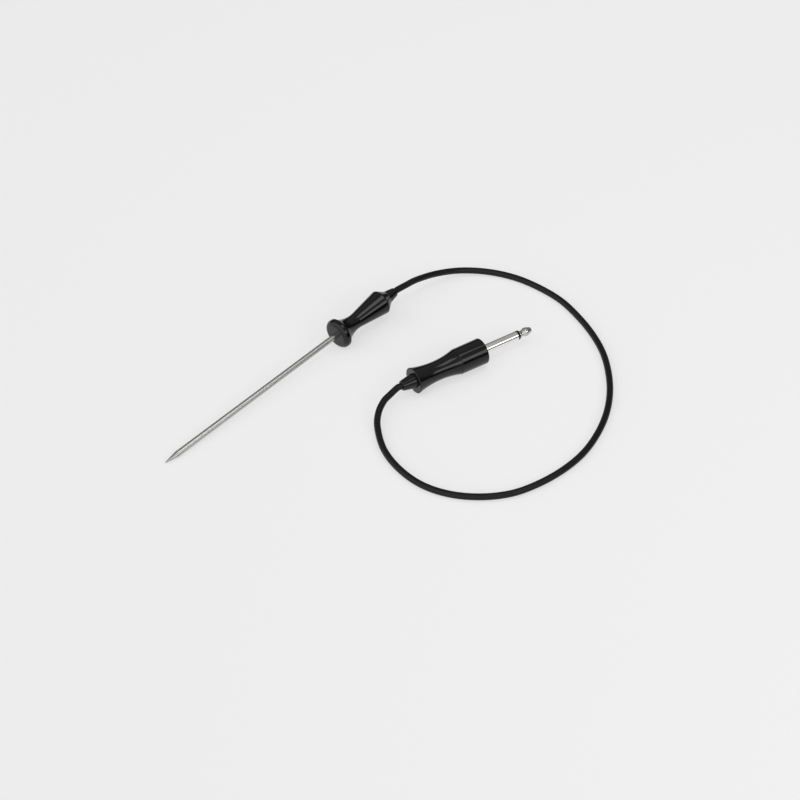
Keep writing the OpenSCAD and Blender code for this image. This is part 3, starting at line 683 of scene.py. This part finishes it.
BLACK, DUSTY_BLACK = (0.002, 0.002, 0.0021), (0.005, 0.005, 0.005)
SOFT_BLACK, DUSTY_SOFT_BLACK = (0.003, 0.003, 0.0032), (0.008, 0.008, 0.008)
black_gloss = moulding("black_gloss_plastic", BLACK, DUSTY_BLACK, low=0.09, high=0.15,
                       grain=700, depth=4, IOR=1.45, Specular_IOR_Level=0.45)
boot_black = moulding("black_boot", BLACK, DUSTY_BLACK, low=0.13, high=0.2, grain=1500,
                      depth=4, IOR=1.45, Specular_IOR_Level=0.45)
jacket = moulding("black_cord_jacket", SOFT_BLACK, DUSTY_SOFT_BLACK, low=0.34, high=0.44,
                  grain=3200, depth=8, IOR=1.45, Specular_IOR_Level=0.3)
ring_plastic = moulding("black_ring_plastic", SOFT_BLACK, DUSTY_SOFT_BLACK, low=0.25,
                        high=0.35, grain=2500, depth=4, IOR=1.45, Specular_IOR_Level=0.3)
print("four blacks, from gloss to satin")

# %% [markdown]
# ### Steel and plating
#
# The stem is stainless steel polished on a belt while it turns, so very fine lines run
# round it. The jack is plated over a turned surface: brighter, with fainter rings. Its
# sleeve is buffed after that, and its tip is left as it comes from the bath, so the tip
# mirrors less. Metal has no colour but what it mirrors, so the roughness between the lines
# does all the work. The Anisotropic socket could blur along one direction, but the lines
# themselves also break up an edge of light, as they do on the real stem.

# %% Polished steel and bright plating
FILM_ON_METAL = 0.9


def worked_metal(name, colour, low, high, stretch, depth, axis):
    """The lines stand square to the axis; stretch is per metre and depth in microns."""
    material, tree, shader = new_finish(name, colour, low, Metallic=1.0)
    vector = own_coordinates(tree, axis)
    surface = use_group(tree, lines, vector, Stretch=stretch, Low=low, High=high)
    tree.links.new(surface["Roughness"], shader.inputs["Roughness"])
    bump(tree, shader, surface["Height"], depth)
    dirt = use_group(tree, film, vector, Size=220, Amount=0.6)
    tint(tree, shader, dirt["Mask"], colour, [part * FILM_ON_METAL for part in colour])
    return material


stem_steel = worked_metal("belt_polished_steel", (0.5, 0.495, 0.485), low=0.24, high=0.27,
                          stretch=(60, 60, 1400), depth=0.8, axis=on_probe)
buffed_plating, plain_plating = (
    worked_metal(name, colour, low=0.03, high=0.07, stretch=(60, 60, 2200), depth=0.3,
                 axis=on_plug)
    for name, colour in (("buffed_plating", (0.88, 0.87, 0.855)),
                         ("plain_plating", (0.58, 0.575, 0.56))))

SEEN = {stem_tube: stem_steel, stem_point: stem_steel, grip: black_gloss,
        plug_body: black_gloss, grip_boot: boot_black, plug_boot: boot_black,
        cord: jacket, jack_sleeve: buffed_plating, jack_tip: plain_plating,
        tip_ring: ring_plastic}
for piece, material in SEEN.items():
    piece.data.materials.append(material)
print(len(SEEN), "pieces have their finish")

# %% [markdown]
# ### What is hidden
#
# The sensor, the wires and the solder tags can't be seen from outside, but they are real
# pieces with real finishes, so that the model still holds up when it is cut open. They
# could be left grey, but they are CAD nodes with the right shape already, and a material
# is all that they need.

# %% Finishes of the inner pieces
BRASS = (0.74, 0.55, 0.26)
grip_brass, plug_brass = (
    worked_metal(name, BRASS, low=0.2, high=0.34, stretch=(60, 60, 3000), depth=3,
                 axis=axis)
    for name, axis in (("turned_brass_in_grip", on_probe),
                       ("turned_brass_in_plug", on_plug)))
tinned = moulding("tinned_wire", (0.62, 0.62, 0.6), (0.5, 0.5, 0.48), low=0.25, high=0.4,
                  grain=1500, depth=6, Metallic=1.0)
white_wire = moulding("white_wire_sleeve", (0.72, 0.72, 0.69), (0.62, 0.61, 0.57),
                      low=0.35, high=0.5, grain=1800, depth=6)
red_shrink = moulding("red_shrink_sleeve", (0.42, 0.02, 0.02), (0.33, 0.02, 0.02),
                      low=0.3, high=0.45, grain=1200, depth=10)
silicone = moulding("red_silicone", (0.38, 0.045, 0.03), (0.3, 0.05, 0.04), low=0.45,
                    high=0.6, grain=2200, depth=8, Subsurface_Weight=0.1)
resin = moulding("cast_resin", (0.4, 0.28, 0.12), (0.33, 0.22, 0.1), low=0.12, high=0.3,
                 grain=500, depth=20, Coat_Weight=0.4)
filler = moulding("mineral_filler", (0.48, 0.43, 0.34), (0.36, 0.32, 0.25), low=0.6,
                  high=0.8, grain=1600, depth=30)
fibre = moulding("pressed_fibre", (0.4, 0.29, 0.16), (0.3, 0.21, 0.11), low=0.5, high=0.7,
                 grain=2600, depth=20)
glass = moulding("sensor_glass", (0.25, 0.42, 0.3), (0.2, 0.34, 0.25), low=0.03, high=0.08,
                 grain=400, depth=2, Transmission_Weight=0.8)

INNER = {
    "tip_filler": filler, "thermistor_bead": glass, "thermistor_leads": tinned,
    "lead_crimps": grip_brass, "crimp_sleeves": white_wire, "stem_wires": white_wire,
    "stem_collar": grip_brass, "stem_seal": silicone, "grip_potting": resin,
    "splice_crimps": grip_brass, "splice_sleeves": red_shrink, "grip_cores": white_wire,
    "grip_ferrule": grip_brass, "plug_ferrule": plug_brass, "plug_cores": white_wire,
    "rod_insulator": fibre, "rear_washer": fibre, "tip_lug": plug_brass,
    "sleeve_lug": plug_brass, "solder_joints": tinned}
for node, material in INNER.items():
    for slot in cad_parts[node].material_slots:
        slot.material = material
print(len(INNER), "inner pieces have their finish")

# %% [markdown]
# ## The table
#
# A sheet of pale paper, far larger than the object, so that no edge of it shows. Paper lit
# from the side is never quite even, and uneven paper draws the eye away from the object.
# More light would burn out the metal. Instead a part of the paper's tone is its own: rays
# that come from the camera, or from a mirror or glass, meet a mix of an even pale grey and
# the lit paper, and the lit part keeps the soft shadow under the object.

# %% The paper
PAPER, GROUND, GROUND_SHARE = 0.9, 0.92, 0.6
PAPER_WIDTH, PAPER_DROP = 60, 0.0002

bpy.ops.mesh.primitive_plane_add(size=PAPER_WIDTH, location=(0, 0, -PAPER_DROP))
table = bpy.context.object
table.name = "table"
paper, tree, shader = new_finish("white_paper", (PAPER, PAPER, PAPER), roughness=0.9,
                                 Specular_IOR_Level=0.2)
glow = add_node(tree, "ShaderNodeEmission")
glow.inputs["Color"].default_value = (GROUND, GROUND, GROUND, 1)
ray = add_node(tree, "ShaderNodeLightPath")
seen = ray.outputs["Is Camera Ray"]
for kind in ("Is Glossy Ray", "Is Transmission Ray"):
    either = add_node(tree, "ShaderNodeMath", operation="MAXIMUM")
    tree.links.new(seen, either.inputs[0])
    tree.links.new(ray.outputs[kind], either.inputs[1])
    seen = either.outputs["Value"]
share = add_node(tree, "ShaderNodeMath", operation="MULTIPLY")
share.inputs[1].default_value = GROUND_SHARE
blend = add_node(tree, "ShaderNodeMixShader")
tree.links.new(seen, share.inputs[0])
tree.links.new(share.outputs["Value"], blend.inputs["Fac"])
tree.links.new(shader.outputs["BSDF"], blend.inputs[1])
tree.links.new(glow.outputs["Emission"], blend.inputs[2])
tree.links.new(blend.outputs["Shader"], tree.nodes["Material Output"].inputs["Surface"])
table.data.materials.append(paper)
print("the paper is", round(table.dimensions.x), "m wide")

# %% [markdown]
# ## The light
#
# Two soft boxes and the room. One box hangs nearly overhead and one stands low beyond the
# plug. They draw the two bright streaks on the glossy cones, with a dark gap between them.
# The room is pale above and dark round the horizon, as a studio with a white ceiling is,
# and brighter towards -X, where its windows are. It lights the table evenly, and its dark
# band gives the metal its dark lines. A single large lamp would light as well but leave
# the metal flat.

# %% The soft boxes
LAMPS_AIM = Vector((0.06, -0.04, 0.01))


def soft_box(name, azimuth, elevation, distance, width, height, radiance):
    """A lamp that faces the grips; azimuth is turned from +X to +Y, in degrees."""
    a, e = math.radians(azimuth), math.radians(elevation)
    out = Vector((math.cos(a) * math.cos(e), math.sin(a) * math.cos(e), math.sin(e)))
    lamp = bpy.data.objects.new(name, bpy.data.lights.new(name, "AREA"))
    lamp.data.shape = "RECTANGLE"
    lamp.data.size, lamp.data.size_y = width, height
    lamp.data.energy = radiance * width * height * math.pi
    lamp.location = LAMPS_AIM + out * distance
    lamp.rotation_euler = out.to_track_quat("Z", "Y").to_euler()
    bpy.context.scene.collection.objects.link(lamp)
    print(name, "gives", round(lamp.data.energy, 2), "W")


soft_box("overhead_box", azimuth=-41, elevation=74.3, distance=1.3, width=0.5,
         height=0.5, radiance=2.2)
soft_box("side_box", azimuth=-87, elevation=31, distance=1.5, width=1.0, height=0.55,
         radiance=2.2)

# %% The room
HORIZON, CEILING, WINDOWS = 0.04, 0.4, 1.15
# a direction's height and its X, from -1 to 1, where each change starts and ends
HORIZON_Z, CEILING_Z, WINDOWS_X, WALL_X = 0.15, 0.65, -0.7, 0

room = bpy.data.worlds.new("studio")
room.use_nodes = True
tree = room.node_tree
direction = add_node(tree, "ShaderNodeSeparateXYZ")
tree.links.new(add_node(tree, "ShaderNodeTexCoord").outputs["Generated"],
               direction.inputs["Vector"])
background = tree.nodes["Background"]
background.inputs["Color"].default_value = (1, 1, 1, 1)
both = add_node(tree, "ShaderNodeMath", operation="ADD")
tree.links.new(remap(tree, direction.outputs["Z"], HORIZON_Z, CEILING_Z, HORIZON,
                     CEILING), both.inputs[0])
tree.links.new(remap(tree, direction.outputs["X"], WINDOWS_X, WALL_X, WINDOWS, 0),
               both.inputs[1])
tree.links.new(both.outputs["Value"], background.inputs["Strength"])
bpy.context.scene.world = room
bpy.context.scene.view_settings.view_transform = "Standard"
print("the room runs from", HORIZON, "to", CEILING, "and its windows add", WINDOWS)

# %% [markdown]
# ## The last update
#
# The dressed model must not outgrow the CAD model. A curve has no size until it has been
# worked out, so the scene is updated at the end.

# %% Update the scene
bpy.context.view_layer.update()
